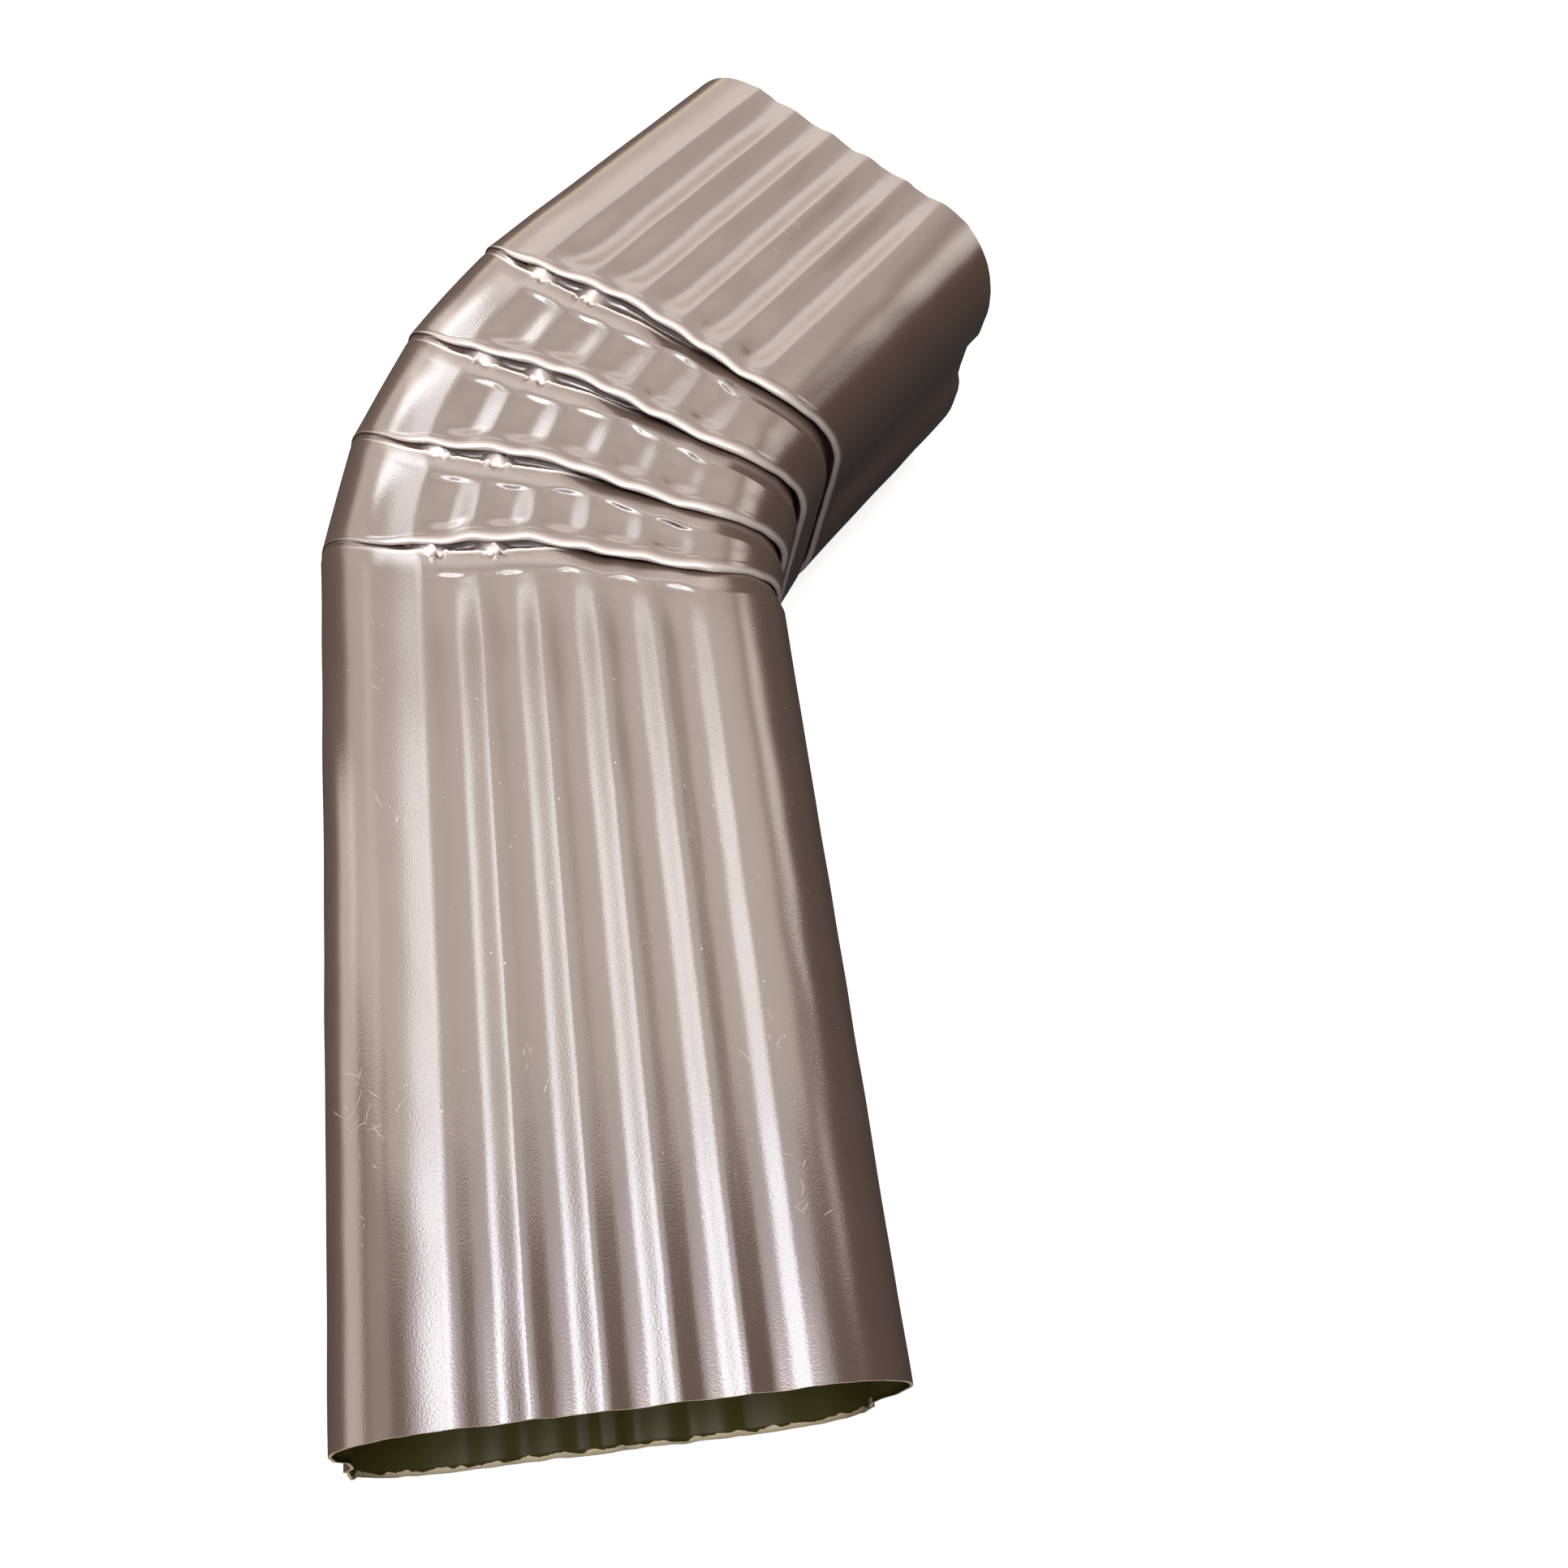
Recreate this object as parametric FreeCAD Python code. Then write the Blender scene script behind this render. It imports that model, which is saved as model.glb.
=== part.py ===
import FreeCAD, Part
import math
import os

# Downspout elbow of corrugated sheet, bent sideways by four crimps. Lengths are in millimetres.
# The part lies on its lower wide wall. Z is up, the long leg runs along Y and the bend turns towards +X.

# Section
WIDTH = 82.55            # outside width of the wide walls, 3 1/4 in
DEPTH = 60.3             # outside depth of the narrow walls, 2 3/8 in
SHEET = 0.48             # painted sheet, 0.019 in
PITCH = 9.525            # flute pitch on the wide walls, 3/8 in
FLUTES = 5               # flutes on each wide wall
FLUTE_DEPTH = 1.1
SIDE_FLUTE = 16.0        # width of the one flute on each narrow wall
SIDE_DEPTH = 1.6

# Bend, measured along the outer narrow wall
LONG_LEG = 151.5
GORES = (25.5, 27.5, 28.5)
SHORT_LEG = 70.5
TURNS = (12.0, 11.0, 10.0, 9.0)   # angle of each crimp, degrees

# Crimp
FOLD_DEPTH = 4.0         # how far the lower section dips under the lip
FOLD_MIN = 0.3           # what is left of the dip on the outer wall
CREASE_BOW = 9.5         # how far the crease runs down the wide wall from the outer wall
CREASE_RISE = 3.5        # how far it climbs again on the wide wall, and on the inner corner
LIP_BOW = 7.0            # how far the lip runs down on the outer corner
LIP_RISE = 6.5           # how far the lip climbs again on the wide wall
LIP_SIDE = 9.0           # how far the lip climbs round the inner corner
LIP_START = 8.0          # the lip starts to climb this far before the wide wall
LIP_RUN = 22.0           # and has climbed this far along it
LIP_PROUD = 0.3          # the lip's edge stands above the crests
CORNER_TRIM = 2.0        # the fold lines' bows end this far short of the corners
CREASE_PAST = 5.0        # the crease climbs on this far past the wide wall
DIP_RUN = 6.5            # length of the dip before the crease
LIP_COVER = 4.0          # the dip starts this far before the lip's edge
LIP_BAND = 1.8           # plain band between the lip and the flutes
LIP_MORE = 2.6           # and how much wider it is where the lip lies over the fold
BAND_RUN = 30.0          # the band has that width from this far along the wide wall
FLUTE_END = 0.6          # slope length of a flute's end, outside
RIB_END = 0.3            # and of the rib that it makes inside
SMALL_STEP = 0.8         # spacing of the fold lines where the crimp runs out
MITRE_LIMIT = 0.3        # keeps the sheet's corner in a tight fold from running to a point

# Lock seam inside the lower wide wall, in the floor of its middle flute
SEAM_HEIGHT = 1.0        # two more layers of sheet

# Shapes of a flute and of half a side flute, as shares of the width and of the depth
FLUTE_SHAPE = ((0.08, 0.0), (0.19, 0.62), (0.30, 1.0), (0.70, 1.0), (0.81, 0.62), (0.92, 0.0))
SIDE_SHAPE = ((0.20, 1.0), (0.50, 0.0))

TURN = [math.radians(t) for t in TURNS]
CRIMPS = len(TURNS)
CORNER = (WIDTH - FLUTES * PITCH) / 2
Q_WALL = DEPTH / 2 - CORNER                      # half of the narrow wall's flat
Q_FACE = Q_WALL + CORNER * math.pi / 2           # start of the wide wall
Q_FAR = Q_FACE + FLUTES * PITCH                  # end of the wide wall
Q_SIDE = Q_FAR + CORNER * math.pi / 2            # start of the inner narrow wall
Q_END = Q_SIDE + Q_WALL                          # middle of the inner narrow wall


def ease(q, start, stop):
    t = min(max((q - start) / (stop - start), 0.0), 1.0)
    return t * t * (3 - 2 * t)


# Half section from the middle of the outer wall over the wide wall to the middle of the inner wall.
# Each place q along it has a point (u across, w above the wide wall's crests) and an outward direction.
def base(q):
    if q <= Q_WALL:
        return 0.0, q - DEPTH / 2, -1.0, 0.0
    if q < Q_FACE:
        a = (q - Q_WALL) / CORNER
        return CORNER * (1 - math.cos(a)), CORNER * (math.sin(a) - 1), -math.cos(a), math.sin(a)
    if q <= Q_FAR:
        return CORNER + q - Q_FACE, 0.0, 0.0, 1.0
    if q < Q_SIDE:
        a = (q - Q_FAR) / CORNER
        return WIDTH - CORNER * (1 - math.sin(a)), CORNER * (math.cos(a) - 1), math.sin(a), math.cos(a)
    return WIDTH, Q_SIDE - q - CORNER, 1.0, 0.0


# Places round the section as (half, place, depth of the flute there, seam lift).
# Half is 1 above and -1 below.
# The short gores have no room for a flute on the inner wall.
def ring(seam, leg):
    upper = [(SIDE_FLUTE * x, SIDE_DEPTH * d, 0.0) for x, d in SIDE_SHAPE]
    upper += [(Q_WALL, 0.0, 0.0), (Q_FACE, 0.0, 0.0)]
    for i in range(FLUTES):
        upper += [(Q_FACE + PITCH * (i + x), FLUTE_DEPTH * d, 0.0) for x, d in FLUTE_SHAPE]
    upper += [(Q_FAR, 0.0, 0.0), (Q_SIDE, 0.0, 0.0)]
    side = [(x, d) for x, d in reversed(SIDE_SHAPE) if leg or d == 0.0]
    upper += [(Q_END - SIDE_FLUTE * x, SIDE_DEPTH * d, 0.0) for x, d in side]
    lower = list(reversed(upper))
    if seam:
        middle = Q_FACE + PITCH * FLUTES / 2
        deepest = max(v[1] for v in lower if abs(v[0] - middle) < PITCH / 2)
        floor = [i for i, v in enumerate(lower) if abs(v[0] - middle) < PITCH / 2 and v[1] == deepest]
        first, last = lower[floor[0]], lower[floor[-1]]
        raised = [(first[0], first[1], seam), (last[0], last[1], seam)]
        lower[floor[0] + 1:floor[-1]] = raised
    return [(1,) + v for v in upper] + [(-1,) + v for v in lower]


# Outer wall flutes run on through the crimps. Every other flute ends at the fold.
def plain(vertex):
    return vertex[2] == 0.0 or vertex[1] < Q_WALL


def fold(q):
    return FOLD_MIN + (FOLD_DEPTH - FOLD_MIN) * ease(q, Q_WALL, Q_FACE)


# Places of the fold lines along the tube, from the crimp's point on the outer wall.
# All are given along the lower section. The lip and what follows it belong to the upper one.
def lines(q, crimp):
    u = base(q)[0]
    bow = ease(q, Q_WALL, Q_FACE - CORNER_TRIM)
    crease = -CREASE_BOW * bow + CREASE_RISE * ease(q, Q_FACE, Q_FAR + CREASE_PAST)
    crease += CREASE_RISE * ease(q, Q_FAR, Q_SIDE) - SMALL_STEP / 2
    lip = -LIP_BOW * bow + LIP_RISE * ease(q, Q_FACE - LIP_START, Q_FACE + LIP_RUN)
    lip += LIP_SIDE * ease(q, Q_FAR - CORNER_TRIM, Q_SIDE) + SMALL_STEP / 2
    lip_low = lip * math.cos(TURN[crimp]) - u * math.sin(TURN[crimp])
    grown = ease(q, Q_WALL, Q_FACE)
    dip = min(crease - DIP_RUN * grown, lip_low - LIP_COVER * grown) - SMALL_STEP
    band = LIP_BAND + LIP_MORE * ease(q, Q_FACE, Q_FACE + BAND_RUN)
    return dip, crease, lip_low, lip_low + band


# Outer profile of a crimp as (along the lower section, outward) pairs:
# the dip's start, the crease, the lip and the flutes' start
def profile(q, depth, crimp):
    dip, crease, lip, start = lines(q, crimp)
    proud = LIP_PROUD * ease(q, Q_WALL, Q_FACE)
    return [(dip, -depth), (crease, -depth - fold(q)), (lip, proud - depth), (start, -depth)]


def inward(a, b):
    length = math.hypot(b[0] - a[0], b[1] - a[1])
    return (b[1] - a[1]) / length, (a[0] - b[0]) / length


def mitre(p, n1, n2):
    share = SHEET / max(1 + n1[0] * n2[0] + n1[1] * n2[1], MITRE_LIMIT)
    return p[0] + share * (n1[0] + n2[0]), p[1] + share * (n1[1] + n2[1])


# Inner profile, one sheet inside the outer one
def inner_profile(q, depth, crimp):
    rows = profile(q, depth, crimp)
    flat = (0.0, -1.0)
    normals = [flat] + [inward(a, b) for a, b in zip(rows, rows[1:])] + [flat]
    return [mitre(p, n1, n2) for p, n1, n2 in zip(rows, normals, normals[1:])]


# Crimp points on the outer wall, the first at the origin
pivots = [(0.0, 0.0)]
for i, gore in enumerate(GORES):
    a = sum(TURN[:i + 1])
    pivots.append((pivots[-1][0] + gore * math.sin(a), pivots[-1][1] + gore * math.cos(a)))


# Point of the section below a crimp, or above it when upper is 1,
# at a length along it and a height outwards
def place(half, q, crimp, upper, along, out):
    u, w, du, dw = base(q)
    turn = sum(TURN[:crimp + upper])
    if upper:
        along = (along + u * math.sin(TURN[crimp])) / math.cos(TURN[crimp])
    u += out * du
    w += out * dw
    x = pivots[crimp][0] + u * math.cos(turn) + along * math.sin(turn)
    y = pivots[crimp][1] - u * math.sin(turn) + along * math.cos(turn)
    return FreeCAD.Vector(x, y, DEPTH + w if half > 0 else -w)


# A station is a list of (point function, vertex) round the section, so that corners can be drawn smoothly
def fold_station(crimp, row, inner, vertices):
    def at(half, q, depth, lift):
        along, out = (inner_profile if inner else profile)(q, depth if q < Q_WALL else 0.0, crimp)[row]
        return place(half, q, crimp, 1 if row > 1 else 0, along, out)
    return at, [v for v in vertices if plain(v)]


# Ends of the flutes beside a fold: the flute's floor stops short of the line between its crests
def flute_station(crimp, row, inner, vertices):
    def at(half, q, depth, lift):
        if plain((half, q, depth)):
            return fold_station(crimp, row, inner, [])[0](half, q, depth, lift)
        left, right = crests(q)
        share = (q - left) / (right - left)
        rows = [(inner_profile if inner else profile)(c, 0.0, crimp)[row] for c in (left, right)]
        along = rows[0][0] + share * (rows[1][0] - rows[0][0])
        slope = (RIB_END if inner else -FLUTE_END) / FLUTE_DEPTH
        along += slope * (depth + lift) * (1 if row == 0 else -1)
        return place(half, q, crimp, 1 if row else 0, along, rows[0][1] - depth - lift)
    return at, vertices


# The two crest edges beside a place in a flute. The inner wall's flute lies across the middle of the wall.
def crests(q):
    if q > Q_SIDE:
        edge = Q_END - SIDE_FLUTE * SIDE_SHAPE[-1][0]
        return edge, 2 * Q_END - edge
    i = math.floor((q - Q_FACE) / PITCH)
    return Q_FACE + PITCH * (i + FLUTE_SHAPE[0][0]), Q_FACE + PITCH * (i + FLUTE_SHAPE[-1][0])


def end_station(crimp, upper, along, inner, vertices):
    def at(half, q, depth, lift):
        low = along
        if upper:
            low = along * math.cos(TURN[crimp]) - base(q)[0] * math.sin(TURN[crimp])
        return place(half, q, crimp, upper, low, -depth - lift - (SHEET if inner else 0.0))
    return at, vertices


def smooth_edge(at, half, start, stop):
    steps = 3
    places = [start + (stop - start) * i / steps for i in range(steps + 1)]
    curve = Part.BSplineCurve()
    points = [at(half, q, 0.0, 0.0) for q in places]
    curve.interpolate(Points=points, Parameters=[i / steps for i in range(steps + 1)])
    return curve.toShape()


# Edges of a station in order round the section: corners are curves, the rest are lines
def edges_of(station):
    at, vertices = station
    edges = []
    for a, b in zip(vertices, vertices[1:] + vertices[:1]):
        corner = a[0] == b[0] and {a[1], b[1]} in ({Q_WALL, Q_FACE}, {Q_FAR, Q_SIDE})
        edges.append(smooth_edge(at, a[0], a[1], b[1]) if corner else Part.makeLine(at(*a), at(*b)))
    return edges


def bridge(first, second):
    faces = []
    for a, b in zip(edges_of(first), edges_of(second)):
        if a.Curve.TypeId == "Part::GeomLine":
            p = [a.valueAt(a.FirstParameter), a.valueAt(a.LastParameter)]
            p += [b.valueAt(b.LastParameter), b.valueAt(b.FirstParameter)]
            normal = (p[1] - p[0]).cross(p[3] - p[0]).normalize()
            if abs((p[2] - p[0]).dot(normal)) < 1e-6:
                faces.append(Part.Face(Part.makePolygon(p + p[:1])))
            else:
                faces.append(Part.Face(Part.makePolygon([p[0], p[1], p[2], p[0]])))
                faces.append(Part.Face(Part.makePolygon([p[0], p[2], p[3], p[0]])))
        else:
            faces.append(Part.makeRuledSurface(a, b))
    return faces


# Flat ends of the flutes: the floor's points and the crests' edges
def flute_ends(station):
    at, vertices = station
    faces = []
    run = []
    count = len(vertices)
    start = next(i for i, v in enumerate(vertices) if v[1] == Q_FACE)
    for i in range(start, start + count + 1):
        vertex = vertices[i % count]
        run.append(vertex)
        if plain(vertex):
            if len(run) > 2:
                points = [at(*v) for v in run]
                faces.append(Part.Face(Part.makePolygon(points + points[:1])))
            run = [vertex]
    return faces


def skin(inner):
    rings = [ring(SEAM_HEIGHT if inner else 0.0, i in (0, CRIMPS)) for i in range(CRIMPS + 1)]
    faces = []
    last = end_station(0, 0, -LONG_LEG, inner, rings[0])
    ends = [edges_of(last)]
    for crimp in range(CRIMPS):
        before = flute_station(crimp, 0, inner, rings[crimp])
        after = flute_station(crimp, 3, inner, rings[crimp + 1])
        folds = [fold_station(crimp, row, inner, rings[crimp]) for row in range(4)]
        faces += bridge(last, before) + flute_ends(before)
        for first, second in zip(folds, folds[1:]):
            faces += bridge(first, second)
        faces += flute_ends(after)
        last = after
    final = end_station(CRIMPS - 1, 1, SHORT_LEG, inner, rings[CRIMPS])
    faces += bridge(last, final)
    ends.append(edges_of(final))
    return faces, ends


outer_faces, outer_ends = skin(False)
inner_faces, inner_ends = skin(True)
faces = outer_faces + inner_faces
for outer, inner in zip(outer_ends, inner_ends):
    wires = [Part.Wire(Part.sortEdges(edges)[0]) for edges in (outer, inner)]
    faces.append(Part.makeFace(wires, "Part::FaceMakerBullseye"))

sewn = Part.makeCompound(faces)
sewn.sewShape(0.001)
elbow = Part.makeSolid(sewn.Shells[0])
if elbow.Volume < 0:
    elbow.reverse()
box = elbow.optimalBoundingBox(False, False)
elbow.translate(FreeCAD.Vector(-box.Center.x, -box.Center.y, -box.ZMin))

os.makedirs("parts", exist_ok=True)
elbow.exportStep("parts/elbow.step")
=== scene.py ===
import math
from types import SimpleNamespace
import bpy
import numpy as np
from mathutils import Matrix, Vector


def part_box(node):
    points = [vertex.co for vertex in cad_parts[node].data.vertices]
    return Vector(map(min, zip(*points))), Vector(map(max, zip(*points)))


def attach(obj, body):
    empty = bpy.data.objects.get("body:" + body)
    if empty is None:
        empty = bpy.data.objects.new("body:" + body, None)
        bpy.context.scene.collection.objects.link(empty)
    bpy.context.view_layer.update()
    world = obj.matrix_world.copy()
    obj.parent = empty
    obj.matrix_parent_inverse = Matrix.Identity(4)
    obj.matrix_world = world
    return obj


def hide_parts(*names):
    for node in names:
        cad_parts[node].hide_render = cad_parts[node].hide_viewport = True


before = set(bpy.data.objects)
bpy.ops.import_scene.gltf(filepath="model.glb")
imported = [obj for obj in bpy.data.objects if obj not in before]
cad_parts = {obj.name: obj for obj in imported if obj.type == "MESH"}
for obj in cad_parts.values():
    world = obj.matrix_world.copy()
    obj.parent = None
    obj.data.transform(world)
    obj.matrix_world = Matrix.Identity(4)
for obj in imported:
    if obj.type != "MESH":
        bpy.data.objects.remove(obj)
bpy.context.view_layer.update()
bpy.context.scene.view_settings.view_transform = "Standard"
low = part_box("elbow")[0]

# Section. All lengths are in millimetres.
WIDTH = 82.55            # outside width of the wide walls
DEPTH = 60.3             # outside depth of the narrow walls
SHEET = 0.48             # painted sheet
PITCH = 9.525            # flute pitch on the wide walls
FLUTES = 5               # flutes on each wide wall
FLUTE_DEPTH = 1.1
FLUTE_POWER = 1.5        # power of the sine that shapes a flute
SIDE_FLUTE = 16.0        # width of the one flute on each narrow wall
SIDE_DEPTH = 1.6
SIDE_FLOOR = 0.4         # share of its width that is flat
SEAM_HEIGHT = 1.0        # lock seam inside the lower wide wall
SEAM_HALF = 1.9          # half of its width
SHOULDER = 0.3           # the outer corners are flatter by this much beside the flutes
SHOULDER_RUN = 10.5      # over this width
COLUMNS_ABOVE = (10, 24, 30)   # mesh columns on half a narrow wall, on a corner and on a flute
COLUMNS_BELOW = (6, 14, 12)    # the same below, where fewer will do

# Bend, measured along the outer narrow wall
LONG_LEG = 151.5
GORES = (25.5, 27.5, 28.5)        # lengths between crimps
SHORT_LEG = 70.5
TURNS = (12.0, 11.0, 10.0, 9.0)   # angle of each crimp, degrees

# Lines of a crimp: the dip's start, the crease at its end and the lip above it
FOLD_DEPTH = 3.0         # how far the lower section dips under the lip
FOLD_MIN = 0.3           # what is left of the dip on the outer wall
FOLD_PAST = 10.0         # the dip gets deeper up to this far along the wide wall
FOLD_POWER = 1.8         # and slowly at first, by this power
CREASE_BOW = 9.5         # how far the crease runs down the wide wall from the outer wall
CREASE_RISE = 3.5        # how far it climbs again on the wide wall, and on the inner corner
CREASE_PAST = 5.0        # it climbs on this far past the wide wall
LIP_BOW = 7.0            # how far the lip runs down on the outer corner
LIP_RISE = 6.5           # how far the lip climbs again on the wide wall
LIP_START = 8.0          # it starts to climb this far before the wide wall
LIP_RUN = 22.0           # and has climbed this far along it
LIP_SIDE = 9.0           # how far it climbs round the inner corner
LIP_PROUD = 0.3          # the solid's lip stands above the crests
LIP_COVER = 4.0          # the dip starts this far before the lip's edge
DIP_RUN = 4.6            # length of the dip before the crease
CORNER_TRIM = 2.0        # the lines' bows end this far short of the corners
SMALL_STEP = 0.8         # spacing of the lines where the crimp runs out
FACE_EDGE = 4.0          # width on the corners over which details of the wide wall fade out

# Uneven lines: longest and shortest waves, and how much they and the crests move each line
RIPPLE_WAVES = (30, 5)
FINE_WAVES = (4, 0.9)
LIP_RIPPLE = 0.10
LIP_CREST = 0.10
DIP_RIPPLE = 0.20
DIP_CREST = 0.15
CREASE_FINE = 0.04

# Ramp of the dip
RAMP_SHARE = 0.4         # share of the fold's depth that it takes where the fold is open
RAMP_CLOSES = (20, 32)   # from here to there along the wide wall it gets the whole depth
RAMP_POWER = 1.6         # the open ramp bends down by this power
POWER_ENDS = (12, 32)    # from here to there along the wide wall it gets straight
RAMP_ROWS = (0.0, 0.12, 0.25, 0.4, 0.55, 0.7, 0.8, 0.87, 0.93, 0.97)   # shares of its length
SPOTS_GROW = (0.7, 0.9)  # shares of its length between which the crumpled spots' painted highlight grows
LINE_GROWS = (0.82, 0.93)      # the pale line, a painted highlight
LUMPS_GROW = (0.45, 0.97)      # the height of the lumps
LUMPS_MOVE = (0.5, 1.0)        # and how far they move along

# Crumpled spots in the crease, which carry painted highlights, and the pale line along it: a painted
# highlight, partly stretched paint
CRUMPLES = ((19.5, 2.2), (29.5, 2.0))   # places across and widths
CRUMPLE_BELOW = 2.0      # they are moved by this much on the lower wall
CRUMPLE_ODD = 1.0        # and by this much at every second crimp
CRUMPLE_FINE = 0.25      # the crease's fine waves there
CRUMPLE_FILL = 0.55      # share of the hollow that they fill
CRUMPLE_GLINT = 0.8       # painted highlight on the crumples in the hollow there
LUMP_WAVES = (3.4, 1.7, 4)              # longest and shortest waves of their lumps, and how many
LUMP_RISE = 0.42         # height of the lumps on the ramp
LUMP_EDGE = 0.5          # on the crease
LUMP_FLOOR = 0.3         # and in the hollow
LUMP_RUN = 0.25          # how far they move along
LINE_STARTS = (2, 12)    # the pale line grows from here to there across
LINE_ENDS = (38, 52)     # and ends from here to there
# how pale the line is painted: a painted highlight, partly stretched paint
LINE_GLINT_AND_STRETCH = 0.75

# Hollow under the lip. What a crimp's small end scales down is a share of its size.
SIZE_MIN = 0.15          # size of that small end
HOLLOW_STARTS = (-7, 6)  # from here to there along the wide wall it gets deeper than the ramp
HOLLOW_LEAST = 0.03      # and is this much deeper before that
HOLLOW_BACK = 1.2        # how far it runs behind the lip and the crease
CREASE_DROP = (0.12, 0.15)   # the crease's edge falls off by this much along and down
HOLLOW_FRONT = 0.3       # and reaches the hollow's floor this far behind the crease
FLOOR_MIDDLE = 1.1       # depth of the floor's middle, as a share
FLOOR_BACK = 1.05        # and of its back
LIP_UNDER = 0.5          # the lip's underside lies this much below its front

# Rounded front of the lip, with a bead on top
BEAD = 0.05              # height of the bead
BEAD_CREST = 0.06        # how much it changes with the crests
BEAD_GLINT_AND_STRETCH = 0.5          # how pale it is painted: a painted highlight, partly stretched, whitened paint
BEAD_STARTS = (0.3, 0.45)      # shares of the front's curve between which that painted highlight starts
BEAD_ENDS = (0.7, 0.95)        # and ends
NOSE_LOW = 1.4           # the front starts this far below the crests
NOSE_IN = 0.7            # and this far behind the lip's line
NOSE_TOP = 1.9           # its top lies this far behind that line
NOSE_BACK = 2.2          # and the bead ends this far behind it
BACK_LEAST = 0.1         # and this much more, also at the small end
NOSE_TURN = 0.8          # share of the crimp's turn that the front has at its start
NOSE_PULLS = ((-0.55, -0.75 * NOSE_LOW), (-0.35, 0.05))   # the curve's inner points, along and out
NOSE_ROWS = 14
UNDER_CLEAR = 0.2        # room between the fold and the sheet's inside
UNDER_SHARE = 1.2        # the inside lies this many times the fold's depth below the crests
UNDER_RAMP = 0.7         # from this share of the ramp
UNDER_PAST = 0.4         # to this far behind the hollow
UNDER_START = 0.35       # share of that depth at its start
UNDER_END = 0.45         # and at its end

# Flutes' ends
FLUTE_START = 7.0        # length over which a flute starts behind a lip
FLUTE_FADE = 9.0         # length over which it gets shallow towards a dip
FADE_SHARE = 0.35        # but no more than this share of its length
FLUTE_LEFT = 0.45        # share of its depth that is left then
FLUTE_STOP = 1.1         # length over which it ends there
GORE_START = 3.2         # length of the start between crimps
GORE_LEFT = 0.75         # share that is left there
GORE_FLUTE = 0.75        # depth of the flutes between crimps, as a share of the legs' flutes
LIP_FLUTE = 0.25         # share of its depth that a flute has on the lip
RIM_FLUTE = 0.45         # share of its depth that a flute keeps at the far rim
RIM_RUN = 16.0           # length over which it gets shallow there
BARREL = 0.45            # rise of the outer corners between crimps
BARREL_SPREAD = 9.0      # its spread, and how far before the wide wall it is highest

# Mesh rows of a leg or a gore: close at both ends, and even between them
HEAD_ROWS = (0.0, 0.4, 0.8, 1.2, 1.6, 2.1, 2.6, 3.2, 3.8)
TAIL_ROWS = (3.2, 2.6, 2.1, 1.7, 1.35, 1.0, 0.7, 0.4, 0.15)
EVEN_START = 4.4
EVEN_END = 4.0
FULL_ROOM = 11.0         # a shorter leg or gore has its close rows closer by as much
LONG_ROWS = 34
GORE_ROWS = 5
SHORT_ROWS = 24
INSIDE_STEP = 3          # the sheet's inside has every third of these rows

# Wear of the sheet
NEAR_JAG = (0.04, 0.10)  # unevenness of the near rim above and below
NEAR_WAVES = (24, 4)     # its longest and shortest waves
NEAR_SEED = 71
TORN_JAG = 0.45          # unevenness of the torn spot on that rim's lower outer corner
TORN_AT = (12, 7)        # place and width of that spot
TORN_WAVES = (9, 2.5, 4)
TORN_SEED = 72
FAR_JAG = 0.10           # unevenness of the far rim
FAR_WAVES = (25, 3.0)
FAR_SEED = 73
JAG_RUN = 4.0            # length over which a rim's unevenness fades out
UNEVEN = 0.035           # height of slight waves all over
LEAN_RIGHT = 0.7         # slants of their two sets
LEAN_LEFT = 0.4
RIGHT_WAVES = (60, 14)
LEFT_WAVES = (70, 16)
RIGHT_SEED = 81
LEFT_SEED = 82

# Scratches: place round the section and from the near end, the spreads of both,
# number, length, lean and the lean's spread
SCRATCHES = (
    (36, 88, 3, 5, 9, 2.6, 0.2, 0.5),
    (52, 50, 1.0, 1.6, 7, 1.3, 0.1, 0.2),
    (54.6, 46, 0.9, 1.4, 4, 1.0, 0.2, 0.3),
    (76.3, 46, 0.8, 1.5, 4, 1.0, 0.1, 0.2),
    (28, 43, 4, 4, 16, 3.4, 0.9, 0.6),
    (34, 46, 1.5, 3, 5, 1.6, 0.6, 0.9),
    (27, 30, 5, 9, 6, 1.2, 0.3, 1.2),
    (89, 27, 2.5, 4, 9, 2.0, 0.6, 0.7),
    (88, 52, 2.5, 4, 5, 3.0, -0.4, 0.5),
    (31, 118, 3, 9, 6, 1.8, 0.3, 0.8),
    (62, 75, 16, 14, 14, 0.7, 0.1, 0.5),
    (84, 88, 4, 10, 6, 1.4, -0.3, 0.5),
    (70, 262, 3, 5, 4, 3.0, 1.1, 0.3),
)
SCRATCH_WIDTH = 0.075
SCRATCH_LIFT = 0.03      # height above the paint
SCRATCH_SPREAD = 0.7     # scales the spreads of their places
SCRATCH_CURL = 0.35      # spread of the change in lean along a scratch
SCRATCH_REACH = (0.4, 1.3)     # least and most share of the length
SCRATCH_THIN = (0.5, 1.2)      # and of the width
SCRATCH_STEPS = 6
SCRATCH_SEED = 91

# Specks of lost paint along the long leg: lengths between which they start and end
CREST_POWER = 6          # keeps the specks to the crests
SPECKS_START = (30, 60)
SPECKS_END = (100, 135)
FEW_SPECKS = 0.25        # how pale the few beside the crests are
FEW_START = (10, 30)
FEW_END = (120, 150)
SPECK_SCALE = 0.55
SPECK_EDGE = (0.09, 0.04)      # a speck's outside and inside, as distances in its cell
SPECK_CHOICE = (0.62, 0.64)    # cells above these values have one

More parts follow.
